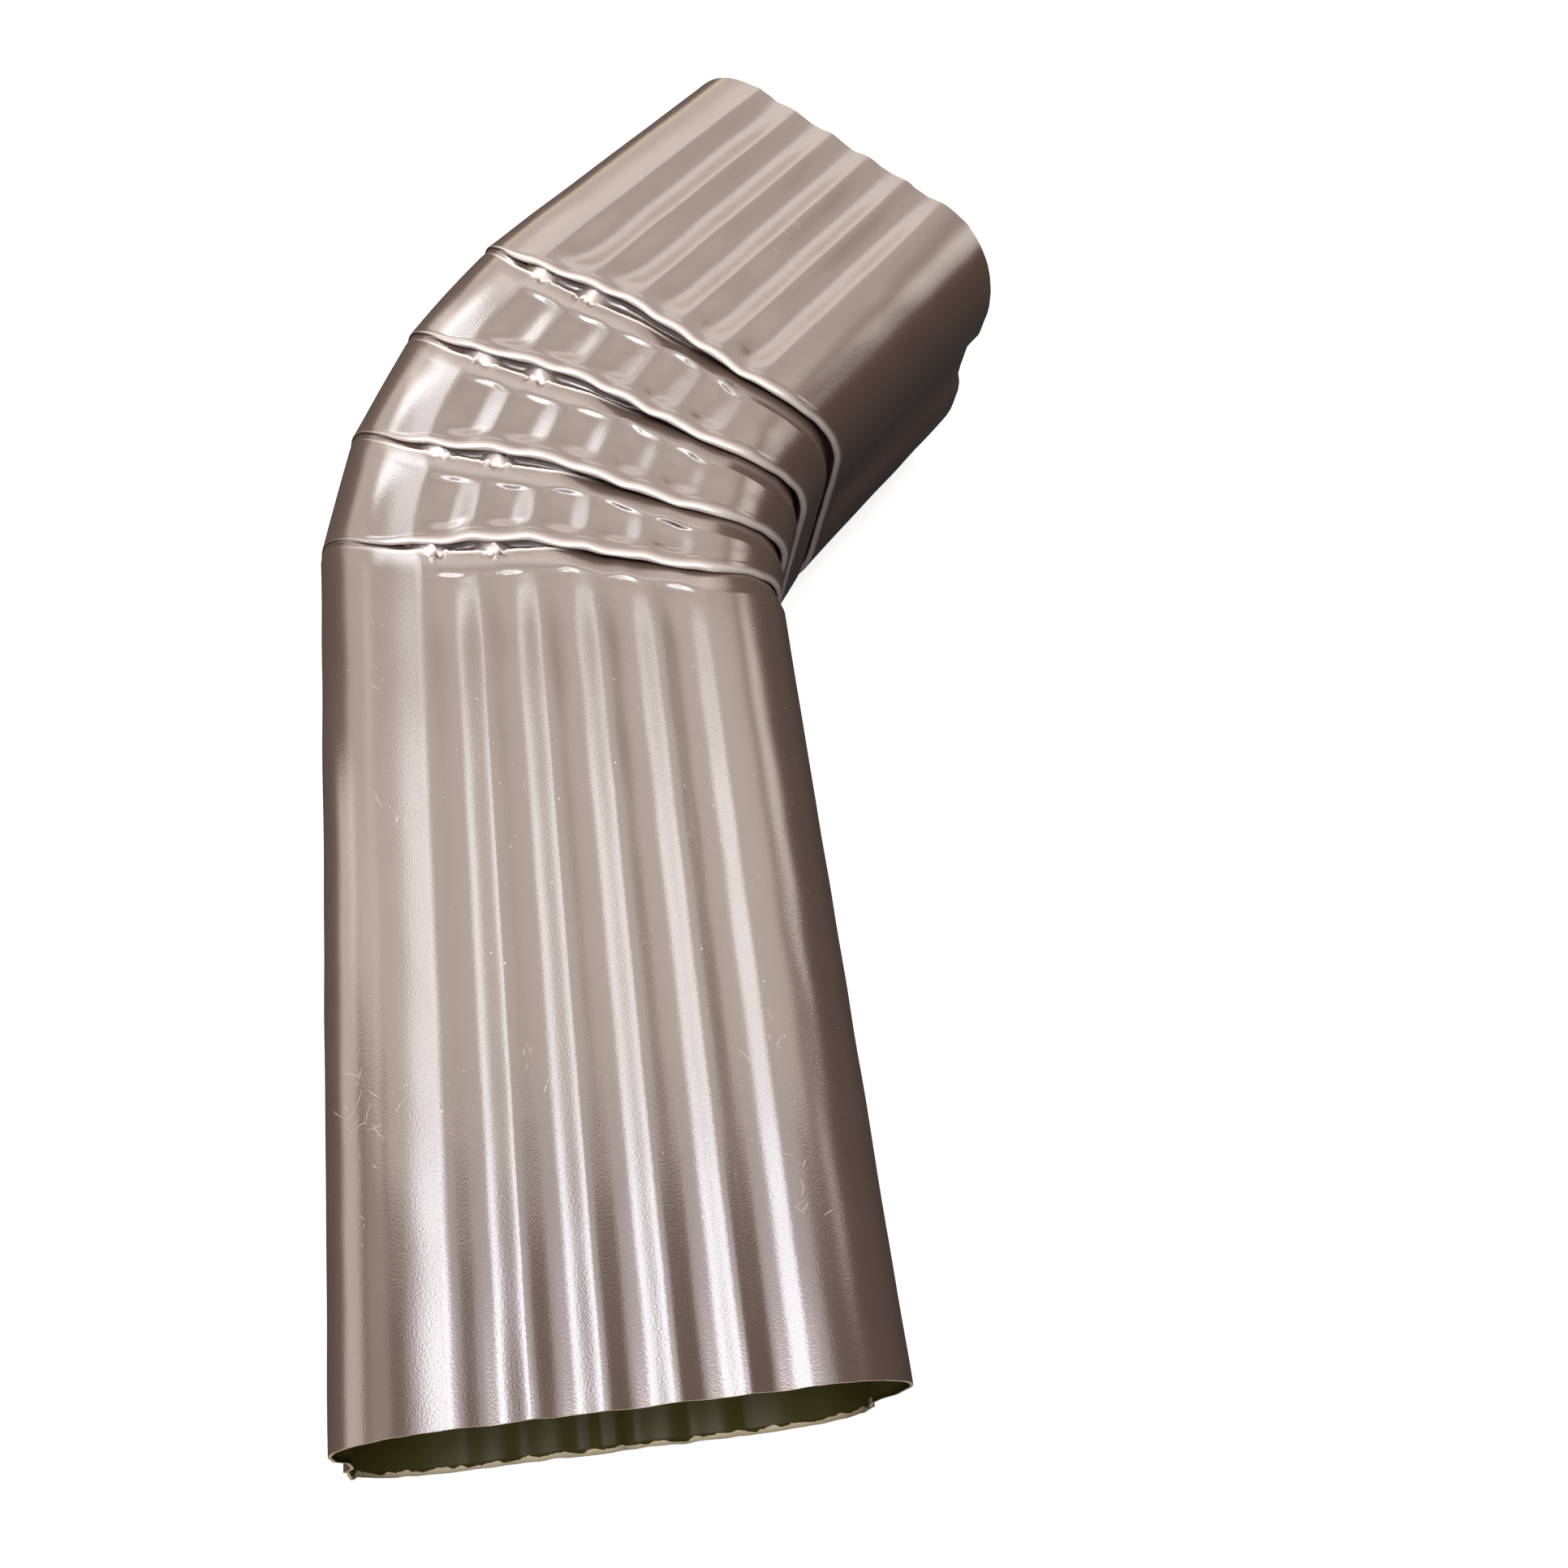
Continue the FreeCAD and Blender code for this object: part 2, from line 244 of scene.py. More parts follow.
# Surfaces. A noise has a scale and a detail.
PAINT_IOR = 2.2
PAINT_ROUGH = (0.2, 0.4)       # sound paint, and on specks and painted highlights
MOTTLE = (0.08, 3.0)
GRAIN = (3.0, 1.0)
GRAIN_STRENGTH = 0.2
GRAIN_HEIGHT = 0.0001          # metres
LINING_ROUGH = 0.3
FLAKES = (0.35, 3.0)
FLAKE_SPAN = (0.35, 0.7)       # these values of the noise give the least and the most depth
FLAKE_DEPTH = (0.35, 1.1)      # of the flaked edge
SCRATCH_ROUGH = 0.5
EDGE_ROUGH = 0.45
PAINT_DARK = (0.080, 0.053, 0.044, 1)
PAINT_PALE = (0.094, 0.063, 0.052, 1)
# pale of lost paint in specks, and of the painted highlights
PAINT_SPECK_AND_GLINT = (0.84, 0.78, 0.75, 1)
SCRATCHED = (0.55, 0.49, 0.45, 1)
LINING = (0.058, 0.056, 0.013, 1)
BARE = (0.90, 0.80, 0.56, 1)
FLOOR_DARK = (0.02, 0.02, 0.02, 1)   # the floor as light bounces off it
FLOOR_PALE = (0.35, 0.35, 0.35, 1)   # the floor as the camera sees it, with a glow added
FLOOR_GLOW = 0.8
FLOOR_MIRRORED = 0.02    # share of the pale floor that reflections show
FLOOR_SIZE = 6           # metres
WHITE = (1, 1, 1, 1)
SKY = 0.015              # strength of the world for all but the camera
WARM = (1.0, 0.90, 0.81)
PINK = (1.0, 0.86, 0.77)
COOL = (0.89, 0.94, 1.0)
LILAC = (1.0, 0.93, 0.96)
BLUSH = (1.0, 0.95, 0.94)
AMBER = (1.0, 0.86, 0.62)

# Lamps: name, centre, width and length, radiance and colour. They hang level, unless an aim follows.
# Places are from the near end's outer corner: across the long leg, along it and up from the crests.
PANELS = (
    ("far_panel", (-25, 330, 420), (950, 310), 1.7, WARM),
    ("farther_panel", (-25, 945, 420), (950, 920), 1.2, WARM),
    ("far_left_panel", (-720, 600, 420), (440, 560), 1.5, WARM),
    ("near_right_panel", (525, 480, 420), (150, 610), 0.5, WARM),
    ("right_panel", (700, 600, 420), (200, 370), 2.6, WARM),
    ("low_right_panel", (750, 225, 420), (300, 110), 1.7, WARM),
    ("far_right_panel", (940, 600, 420), (280, 370), 2.3, WARM),
    ("ceiling_panel", (0, -65, 430), (600, 480), 1.25, LILAC),
    ("key_panel", (-130, 92, 415), (130, 145), 4.3, COOL),
    ("band_panel", (-130, 285, 415), (140, 240), 2.4, COOL),
    ("gore_panel", (-110, 670, 415), (120, 400), 2.2, COOL),
    ("strip_panel", (-270, 960, 415), (380, 320), 4.5, COOL),
    ("pale_panel", (140, 860, 412), (260, 160), 1.5, COOL),
    ("high_panel", (-100, -120, 1200), (1000, 420), 4.2, BLUSH),
    ("ahead_panel", (50, 1150, 250), (900, 420), 1.15, WARM, (50, 200, 0)),
    ("low_panel", (20, 1000, -15), (380, 70), 2.2, AMBER, (40, 220, -20)),
    ("side_panel", (-450, 600, 60), (700, 420), 1.3, WARM, (20, 150, -20)),
    ("left_panel", (-120, 20, -32), (320, 60), 1.6, PINK, (0, 20, -20)),
    ("higher_left_panel", (-900, 120, 360), (1000, 500), 0.7, PINK, (0, 80, 0)),
    ("front_panel", (330, -650, 150), (420, 300), 2.0, WARM, (40, 0, -30)),
)

# Camera, in the lamps' frame
PIXELS = 1932            # side of the square picture
FOCAL = 1740.273         # focal length in pixels
CENTRE_X = 965.443       # where its axis meets the picture
CENTRE_Y = 1182.311
SENSOR = 36              # millimetres
CLIP_START = 0.01        # metres
CAMERA_AT = (20.720, -22.183, 192.750)
TURN_AXIS = Vector((2.70423071, -0.13084755, 0.29107739))   # its turn: axis times angle

# Derived places round the section: q runs along each half from the outer wall's middle to the inner wall's
TURN = [math.radians(t) for t in TURNS]
CORNER = (WIDTH - FLUTES * PITCH) / 2
Q_WALL = DEPTH / 2 - CORNER                 # half of the narrow wall's flat
Q_FACE = Q_WALL + CORNER * math.pi / 2      # start of the wide wall
Q_FAR = Q_FACE + FLUTES * PITCH             # end of the wide wall
Q_SIDE = Q_FAR + CORNER * math.pi / 2       # start of the inner narrow wall
Q_END = Q_SIDE + Q_WALL
LAST_CRIMP = len(TURNS) - 1


def ease(x, start, stop):
    t = np.clip((x - start) / (stop - start), 0.0, 1.0)
    return t * t * (3 - 2 * t)


def along_face(place_q, span):
    return ease(place_q, Q_FACE + span[0], Q_FACE + span[1])


def mix(a, b, t):
    return a + (b - a) * t


def bump(x, centre, width):
    return np.exp(-((x - centre) / width) ** 2)


def bezier(points, t):
    a, b, c, d = points
    return (1 - t) ** 3 * a + 3 * t * (1 - t) ** 2 * b + 3 * t * t * (1 - t) * c + t ** 3 * d


def waves(x, seed, longest, shortest, count=9):
    rng = np.random.default_rng(seed)
    total = np.zeros_like(x, dtype=float)
    for i in range(count):
        length = longest * (shortest / longest) ** (i / (count - 1))
        total += np.sin(2 * math.pi * (x / length + rng.random())) / count ** 0.5
    return total


# Columns of the mesh: their q, and their half, which is 1 above and -1 below
def columns():
    edges = (0.0, Q_WALL, Q_FACE, Q_FAR, Q_SIDE, Q_END)
    halves = []
    for wall, corner, flute in (COLUMNS_ABOVE, COLUMNS_BELOW):
        counts = (wall, corner, flute * FLUTES, corner, wall)
        runs = [np.linspace(a, b, n, endpoint=False) for a, b, n in zip(edges, edges[1:], counts)]
        halves.append(np.concatenate(runs + [[Q_END]]))
    above, below = halves
    signs = np.repeat([1.0, -1.0], [len(above), len(below) - 2])
    return np.concatenate([above, below[-2:0:-1]]), signs


q, half = columns()
upper_half = half > 0

# Section without flutes: across from the outer wall, height from the crests, and outward directions
corner_a = np.clip((q - Q_WALL) / CORNER, 0.0, math.pi / 2)
corner_b = np.clip((q - Q_FAR) / CORNER, 0.0, math.pi / 2)
flat_q = np.clip(q - Q_FACE, 0, Q_FAR - Q_FACE)
across = CORNER * (1 - np.cos(corner_a)) + flat_q + CORNER * np.sin(corner_b)
height = np.clip(q, 0, Q_WALL) - Q_WALL + CORNER * (np.sin(corner_a) - 1)
height += CORNER * (np.cos(corner_b) - 1) - np.clip(q - Q_SIDE, 0, Q_WALL)
out_u = np.sin(corner_b) - np.cos(corner_a)
out_w = np.sin(corner_a) * np.cos(corner_b)
on_face = ease(q, Q_FACE - FACE_EDGE, Q_FACE) * ease(-q, -Q_FAR - FACE_EDGE, -Q_FAR)

# Depths of the flutes. The outer one holds the shoulder too, where 27 / 4 makes the curve's top one.
face_flute = FLUTE_DEPTH * np.abs(np.sin(math.pi * flat_q / PITCH)) ** FLUTE_POWER
side_edge = SIDE_FLUTE / 2
side_floor = SIDE_FLOOR * SIDE_FLUTE / 2
outer_flute = SIDE_DEPTH * ease(-q, -side_edge, -side_floor)
beside = np.clip((Q_FACE - q) / SHOULDER_RUN, 0.0, 1.0)
outer_flute += 27 / 4 * SHOULDER * beside * (1 - beside) ** 2
inner_flute = SIDE_DEPTH * ease(q, Q_END - side_edge, Q_END - side_floor)

# Where the outer wall bends
pivots = [np.zeros(2)]
for i, gore in enumerate(GORES):
    bent = sum(TURN[:i + 1])
    pivots.append(pivots[-1] + gore * np.array([math.sin(bent), math.cos(bent)]))


# Points round the section below a crimp, or above it where upper is 1. Along is measured below the crimp.
def place(crimp, upper, along, out):
    turn = sum(TURN[:crimp + upper])
    if upper:
        along = (along + across * math.sin(TURN[crimp])) / math.cos(TURN[crimp])
    u = across + out * out_u
    w = height + out * out_w
    x = pivots[crimp][0] + u * math.cos(turn) + along * math.sin(turn)
    y = pivots[crimp][1] - u * math.sin(turn) + along * math.cos(turn)
    z = np.where(upper_half, DEPTH + w, -w)
    return np.stack([x, y, z], axis=1)


def direction(turn):
    return np.stack([out_u * math.cos(turn), -out_u * math.sin(turn), half * out_w], axis=1)


# A row of points round the section, their outward directions and how pale they are painted: painted
# highlights, partly stretched paint.
# The blend goes from 0 for the section below the crimp to 1 for the one above it.
def station(crimp, along, out, blend, glint_and_stretch=0.0):
    points = np.zeros((len(q), 3))
    outward = np.zeros((len(q), 3))
    for upper, weight in ((0, 1 - blend), (1, blend)):
        points += weight * place(crimp, upper, along, out)
        outward += weight * direction(sum(TURN[:crimp + upper]))
    return points, outward, glint_and_stretch + np.zeros(len(q))


def rim(crimp, upper, along):
    if upper:
        along = along * math.cos(TURN[crimp]) - across * math.sin(TURN[crimp])
    return station(crimp, along, np.zeros(len(q)), upper)


# Waves with a seed of their own on each half
def both_waves(seed, *lengths):
    return np.where(upper_half, waves(q, seed, *lengths), waves(q, seed + 1, *lengths))


# Lines and depths of one crimp, each a value for every column
def fold_lines(crimp):
    seed = 10 * crimp
    ripple = both_waves(seed + 1, *RIPPLE_WAVES)
    fine = both_waves(seed + 3, *FINE_WAVES)
    crest = np.cos(2 * math.pi * flat_q / PITCH) * on_face
    fold = SimpleNamespace(grown=ease(q, Q_WALL, Q_FACE))
    fold.deep = mix(FOLD_MIN, FOLD_DEPTH, ease(q, Q_WALL, Q_FACE + FOLD_PAST) ** FOLD_POWER)
    fold.size = np.clip(fold.deep / FOLD_DEPTH, SIZE_MIN, 1.0)

    moved = across + CRUMPLE_BELOW * (half < 0) + CRUMPLE_ODD * (crimp % 2)
    fold.spots = sum(bump(moved, centre, width) for centre, width in CRUMPLES) * on_face
    crumpled = np.minimum(fold.spots, 1)
    fold.lump = both_waves(seed + 5, *LUMP_WAVES) * crumpled
    # pale line along the crease: a painted highlight, partly stretched paint
    line = ease(across, *LINE_STARTS) * (1 - ease(across, *LINE_ENDS))
    fold.line = LINE_GLINT_AND_STRETCH * line

    crease = -CREASE_BOW * ease(q, Q_WALL, Q_FACE - CORNER_TRIM)
    crease += CREASE_RISE * ease(q, Q_FACE, Q_FAR + CREASE_PAST)
    crease += CREASE_RISE * ease(q, Q_FAR, Q_SIDE) - SMALL_STEP / 2
    lip = -LIP_BOW * ease(q, Q_WALL, Q_FACE - CORNER_TRIM) + LIP_RISE * along_face(q, (-LIP_START, LIP_RUN))
    lip += LIP_SIDE * ease(q, Q_FAR - CORNER_TRIM, Q_SIDE) + SMALL_STEP / 2
    lip = lip * math.cos(TURN[crimp]) - across * math.sin(TURN[crimp])
    dip = np.minimum(crease - DIP_RUN * fold.grown, lip - LIP_COVER * fold.grown) - SMALL_STEP
    fold.lip = lip + fold.grown * (LIP_RIPPLE * ripple + LIP_CREST * crest)
    fold.dip = dip + fold.grown * (DIP_RIPPLE * ripple - DIP_CREST * crest)
    fold.crease = crease + fold.grown * fine * (CREASE_FINE * on_face + CRUMPLE_FINE * fold.spots)

    fold.bead = fold.grown * (BEAD + BEAD_CREST * crest)
    fold.sunk = LIP_FLUTE * face_flute
    fold.power = mix(RAMP_POWER, 1.0, along_face(q, POWER_ENDS))
    fold.ramp = fold.deep * mix(RAMP_SHARE, 1.0, along_face(q, RAMP_CLOSES))
    filled = mix(fold.ramp + HOLLOW_LEAST, fold.deep, along_face(q, HOLLOW_STARTS))
    fold.filled = filled * (1 - CRUMPLE_FILL * crumpled)
    fold.under = np.maximum(fold.lip, fold.crease) + HOLLOW_BACK * fold.size
    fold.back = fold.lip + NOSE_BACK * fold.size + BACK_LEAST
    return fold


# From the start of the dip to the crease
def ramp_rows(crimp, fold):
    rows = []
    for t in RAMP_ROWS:
        # the pale line and the crumpled spots get painted highlights
        glint_and_stretch = np.maximum(fold.line * ease(t, *LINE_GROWS), fold.spots * ease(t, *SPOTS_GROW))
        along = mix(fold.dip, fold.crease, t) + LUMP_RUN * fold.lump * ease(t, *LUMPS_MOVE)
        out = -fold.ramp * t ** fold.power + LUMP_RISE * fold.lump * ease(t, *LUMPS_GROW)
        rows.append(station(crimp, along, out, 0, glint_and_stretch))
    return rows


# The crease's edge and the hollow behind it, up to the lip's underside
def hollow_rows(crimp, fold):
    edge = -fold.ramp + LUMP_EDGE * fold.lump
    # painted highlights: the pale line along the crease's edge, and the crumples, also in the hollow
    pale = np.maximum(fold.line, fold.spots)
    hollow_glint = CRUMPLE_GLINT * fold.spots
    dropped = fold.crease + CREASE_DROP[0] * fold.size
    front = fold.crease + HOLLOW_FRONT * fold.size
    middle = -FLOOR_MIDDLE * fold.filled + LUMP_FLOOR * fold.lump
    roof = -np.minimum((NOSE_LOW + LIP_UNDER) * fold.size, fold.filled)
    return [
        station(crimp, fold.crease + LUMP_RUN * fold.lump, edge, 0, pale),
        station(crimp, dropped, edge - CREASE_DROP[1] * fold.size, 0.0, pale),
        station(crimp, front, -fold.filled, 0.0, hollow_glint),
        station(crimp, mix(fold.crease, fold.under, 0.5), middle, 0.2, hollow_glint),
        station(crimp, fold.under, -FLOOR_BACK * fold.filled, 0.4, hollow_glint),
        station(crimp, fold.lip + HOLLOW_BACK * fold.size, roof, 0.6),
    ]


# The lip's rounded front and the bead on top
def lip_rows(crimp, fold):
    lift = fold.bead - fold.sunk
    pull_low, pull_high = NOSE_PULLS
    along = [fold.lip + share * fold.size for share in (NOSE_IN, pull_low[0], pull_high[0], NOSE_TOP)]
    out = [-NOSE_LOW * fold.size, pull_low[1] * fold.size, pull_high[1] * fold.size + lift, lift]
    rows = []
    for t in np.linspace(0, 1, NOSE_ROWS):
        # painted highlight along the bead, partly stretched paint
        glint_and_stretch = BEAD_GLINT_AND_STRETCH * fold.grown * ease(t, *BEAD_STARTS) * (1 - ease(t, *BEAD_ENDS))
        rows.append(station(crimp, bezier(along, t), bezier(out, t), mix(NOSE_TURN, 1.0, t), glint_and_stretch))
    rows.append(station(crimp, mix(along[-1], fold.back, 0.5), 0.5 * fold.bead - fold.sunk, 1))
    return rows


# The sheet's inside below the fold
def under_rows(crimp, fold):
    below = -UNDER_SHARE * fold.deep - SHEET - UNDER_CLEAR
    return [
        station(crimp, fold.dip, UNDER_START * below, 0),
        station(crimp, mix(fold.dip, fold.crease, UNDER_RAMP), below, 0),
        station(crimp, fold.under + UNDER_PAST, below, 0.5),
        station(crimp, fold.back + UNDER_CLEAR, UNDER_END * below, 0.9),
    ]


def sink_outer(rows):
    return [(points - outward * outer_flute[:, None], outward, glint_and_stretch) for points, outward, glint_and_stretch in rows]


# Share of the flutes' depth at one row of a leg or a gore, from the lengths behind it and left before it
def flute_share(run, left, fade, after_fold, before_fold):
    between = after_fold and before_fold
    start, kept, full = (GORE_START, GORE_LEFT, GORE_FLUTE) if between else (FLUTE_START, FLUTE_LEFT, 1.0)
    share = mix(LIP_FLUTE, full, ease(run, 0.0, start)) if after_fold else 1.0
    if before_fold:
        share = share * mix(0.0, kept, ease(left, 0.0, FLUTE_STOP))
        more = ease(left, FLUTE_STOP, FLUTE_STOP + fade)
        share = np.where(left > FLUTE_STOP, share * mix(1.0, 1 / kept, more), share)
    return share


# Rows of a leg or a gore between two stations. Flutes start behind a lip and end before a dip.
def leg_rows(first, last, after_fold, before_fold, count, jag=0.0):
    length = np.linalg.norm(last[0] - first[0], axis=1)
    room = np.minimum(length / FULL_ROOM, 1.0)
    runs = [head * room for head in HEAD_ROWS]
    runs += [mix(EVEN_START * room, length - EVEN_END * room, t) for t in np.linspace(0, 1, count)]
    runs += [length - tail * room for tail in TAIL_ROWS]
    if not before_fold:
        runs.append(length)
    fade = np.minimum(FLUTE_FADE, FADE_SHARE * length)
    rows = []
    for run in runs:
        share = flute_share(run / room, (length - run) / room, fade / room, after_fold, before_fold)
        if after_fold and before_fold:
            barrel = BARREL * bump(q, Q_FACE - BARREL_SPREAD, BARREL_SPREAD) * np.sin(math.pi * run / length)
            depth = share * face_flute + outer_flute - barrel
        else:
            depth = share * (face_flute + inner_flute) + outer_flute
        if after_fold and not before_fold:
            depth = depth - face_flute * (1 - RIM_FLUTE) * ease(run, length - RIM_RUN, length)
        at_rim = ease(run, length - JAG_RUN, length) if after_fold else 1 - ease(run, 0, JAG_RUN)
        moved = run + jag * at_rim
        points = first[0] + (last[0] - first[0]) * (moved / length)[:, None]
        rows.append((points - first[1] * depth[:, None], first[1], np.zeros(len(q))))
    return rows


# All rows, from the near rim to the far one
near_jag = np.where(upper_half, *NEAR_JAG) * waves(q, NEAR_SEED, *NEAR_WAVES)
near_jag += TORN_JAG * bump(q, *TORN_AT) * (half < 0) * waves(q, TORN_SEED, *TORN_WAVES)
far_jag = FAR_JAG * waves(q, FAR_SEED, *FAR_WAVES)
crimps = []
under_folds = []
starts = [rim(0, 0, -LONG_LEG)]
ends = []
for i in range(LAST_CRIMP + 1):
    fold = fold_lines(i)
    found = ramp_rows(i, fold) + hollow_rows(i, fold) + lip_rows(i, fold)
    crimps.append(sink_outer(found))
    under_folds.append(sink_outer(under_rows(i, fold)))
    ends.append(found[0])
    starts.append(station(i, fold.back, np.zeros(len(q)), 1))
ends.append(rim(LAST_CRIMP, 1, SHORT_LEG))
legs = [leg_rows(starts[0], ends[0], False, True, LONG_ROWS, near_jag)]
for i in range(1, LAST_CRIMP + 1):
    legs.append(leg_rows(starts[i], ends[i], True, True, GORE_ROWS))
legs.append(leg_rows(starts[-1], ends[-1], True, False, SHORT_ROWS, far_jag))
rows = []
leg_starts = []
for i, leg in enumerate(legs):
    leg_starts.append(len(rows))
    rows += leg
    if i <= LAST_CRIMP:
        rows += crimps[i]
grid = np.array([row[0] for row in rows])
glint_and_stretch = np.array([row[2] for row in rows])
count, width = grid.shape[:2]

# Outward directions of the grid's points
round_step = np.roll(grid, -1, axis=1) - np.roll(grid, 1, axis=1)
along_step = np.gradient(grid, axis=0)
normal = np.cross(round_step, along_step)
normal /= np.linalg.norm(normal, axis=2, keepdims=True)

# Unrolled places of the columns and the rows, and the slight waves of the sheet
girth = np.where(upper_half, q, 2 * Q_END - q)[None, :]
row_steps = np.linalg.norm(np.diff(grid.mean(axis=1), axis=0), axis=1)
travel = np.concatenate([[0], np.cumsum(row_steps)])
up = travel[:, None]
unrolled = np.stack(np.broadcast_arrays(girth, up, half[None, :]), axis=2)
uneven = waves(girth + LEAN_RIGHT * up, RIGHT_SEED, *RIGHT_WAVES)
uneven += waves(up - LEAN_LEFT * girth, LEFT_SEED, *LEFT_WAVES)
grid = grid + normal * (UNEVEN * uneven[:, :, None])

to_frame = np.array([low[0] * 1000, low[1] * 1000 + LONG_LEG, LIP_PROUD])


def make_mesh(name, points, faces, materials, face_material, unrolled, marks):
    mesh = bpy.data.meshes.new(name)
    mesh.from_pydata(((points + to_frame) / 1000).tolist(), [], faces.tolist())
    for material in materials:
        mesh.materials.append(material)
    mesh.polygons.foreach_set("material_index", face_material)
    mesh.polygons.foreach_set("use_smooth", np.ones(len(faces), dtype=bool))
    layer = mesh.attributes.new("unrolled", "FLOAT_VECTOR", "POINT")
    layer.data.foreach_set("vector", unrolled.astype(np.float32).ravel())
    for mark, values in marks.items():
        layer = mesh.attributes.new(mark, "FLOAT", "POINT")
        layer.data.foreach_set("value", values.astype(np.float32).ravel())
    mesh.update()
    piece = bpy.data.objects.new(name, mesh)
    bpy.context.collection.objects.link(piece)
    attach(piece, "root")
    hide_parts("elbow")


def strip_faces(row_count, flip):
    i = np.arange(row_count - 1)[:, None] * width
    j = np.arange(width)[None, :]
    k = (j + 1) % width
    quads = np.stack([i + j, i + k, i + width + k, i + width + j], axis=2).reshape(-1, 4)
    return quads[:, ::-1] if flip else quads


def shader(name):
    material = bpy.data.materials.new(name)
    material.use_nodes = True
    return material, material.node_tree, material.node_tree.nodes["Principled BSDF"]


def add(tree, kind, inputs, **settings):
    node = tree.nodes.new("ShaderNode" + kind)
    for key, value in settings.items():
        setattr(node, key, value)
    for key, value in inputs.items():
        if isinstance(value, bpy.types.NodeSocket):
            tree.links.new(value, node.inputs[key])
        else:
            node.inputs[key].default_value = value
    return node


def attribute(tree, name, output):
    return add(tree, "Attribute", {}, attribute_name=name).outputs[output]


def math_node(tree, operation, *values, **settings):
    return add(tree, "Math", dict(enumerate(values)), operation=operation, **settings).outputs[0]


def map_range(tree, value, from_min, from_max, to_min=0.0, to_max=1.0):
    inputs = {"Value": value, "From Min": from_min, "From Max": from_max, "To Min": to_min, "To Max": to_max}
    return add(tree, "MapRange", inputs).outputs[0]


def blend_colours(tree, share, first, second):
    return add(tree, "MixRGB", {"Fac": share, "Color1": first, "Color2": second}).outputs[0]


def noise(tree, at, scale, detail):
    return add(tree, "TexNoise", {"Vector": at, "Scale": scale, "Detail": detail}).outputs["Fac"]


# Glossy brown paint, paler where specked and where highlights are painted on the beads, the creases and
# their crumples
def brown_paint():
    material, tree, bsdf = shader("brown_paint")
    bsdf.inputs["IOR"].default_value = PAINT_IOR
    at = attribute(tree, "unrolled", "Vector")
    dots = add(tree, "TexVoronoi", {"Vector": at, "Scale": SPECK_SCALE})
    near_dot = map_range(tree, dots.outputs["Distance"], *SPECK_EDGE)
    chosen = map_range(tree, dots.outputs["Color"], *SPECK_CHOICE)
    dotted = math_node(tree, "MULTIPLY", near_dot, chosen)
    dotted = math_node(tree, "MULTIPLY", dotted, attribute(tree, "speck", "Fac"))
    specks_and_glint = math_node(tree, "ADD", dotted, attribute(tree, "glint_and_stretch", "Fac"))
    specks_and_glint = math_node(tree, "MINIMUM", specks_and_glint, 1.0)
    tone = blend_colours(tree, noise(tree, at, *MOTTLE), PAINT_DARK, PAINT_PALE)
    tree.links.new(blend_colours(tree, specks_and_glint, tone, PAINT_SPECK_AND_GLINT), bsdf.inputs["Base Color"])
    tree.links.new(map_range(tree, specks_and_glint, 0.0, 1.0, *PAINT_ROUGH), bsdf.inputs["Roughness"])
    grain = {"Height": noise(tree, at, *GRAIN), "Strength": GRAIN_STRENGTH, "Distance": GRAIN_HEIGHT}
    tree.links.new(add(tree, "Bump", grain).outputs[0], bsdf.inputs["Normal"])
    return material


# Olive wash on the inside, flaked off along the lower edge of the near rim
def olive_wash():
    material, tree, bsdf = shader("olive_wash")
    bsdf.inputs["Roughness"].default_value = LINING_ROUGH
    at = attribute(tree, "unrolled", "Vector")
    split = add(tree, "SeparateXYZ", {"Vector": at})
    flake_depth = map_range(tree, noise(tree, at, *FLAKES), *FLAKE_SPAN, *FLAKE_DEPTH)
    near_rim = math_node(tree, "LESS_THAN", split.outputs["Y"], flake_depth)
    below = math_node(tree, "LESS_THAN", split.outputs["Z"], 0.0)
    flake = math_node(tree, "MULTIPLY", near_rim, below)
    tree.links.new(blend_colours(tree, flake, LINING, BARE), bsdf.inputs["Base Color"])
    return material


def plain(name, colour, roughness):
    material, tree, bsdf = shader(name)
    bsdf.inputs["Base Color"].default_value = colour
    bsdf.inputs["Roughness"].default_value = roughness
    return material


# Outside of the sheet, with specks along the crests of the long leg and a few beside them
def outside():
    crests = np.abs(np.cos(math.pi * flat_q / PITCH)) ** CREST_POWER * on_face * upper_half
    specks = crests[None, :] * ease(up, *SPECKS_START) * (1 - ease(up, *SPECKS_END))
    specks = specks + FEW_SPECKS * upper_half * ease(up, *FEW_START) * (1 - ease(up, *FEW_END))
    kinds = np.zeros((count - 1) * width, dtype=np.int32)
    marks = {"glint_and_stretch": glint_and_stretch, "speck": specks}
    make_mesh("elbow_outside", grid.reshape(-1, 3), strip_faces(count, True), [brown_paint()],
              kinds, unrolled.reshape(-1, 3), marks)


# Points on the paint of the upper half
def on_paint(place_q, place_y):
    columns_above = np.flatnonzero(upper_half)
    i = np.clip(np.interp(place_y, travel, np.arange(count)), 0, count - 1.001)
    j = np.clip(np.interp(place_q, q[columns_above], columns_above), 0, columns_above[-1] - 0.001)
    i0 = i.astype(int)
    j0 = j.astype(int)
    ti = (i - i0)[:, None]
    tj = (j - j0)[:, None]
    lifted = grid + SCRATCH_LIFT * normal
    near = mix(lifted[i0, j0], lifted[i0, j0 + 1], tj)
    return mix(near, mix(lifted[i0 + 1, j0], lifted[i0 + 1, j0 + 1], tj), ti)


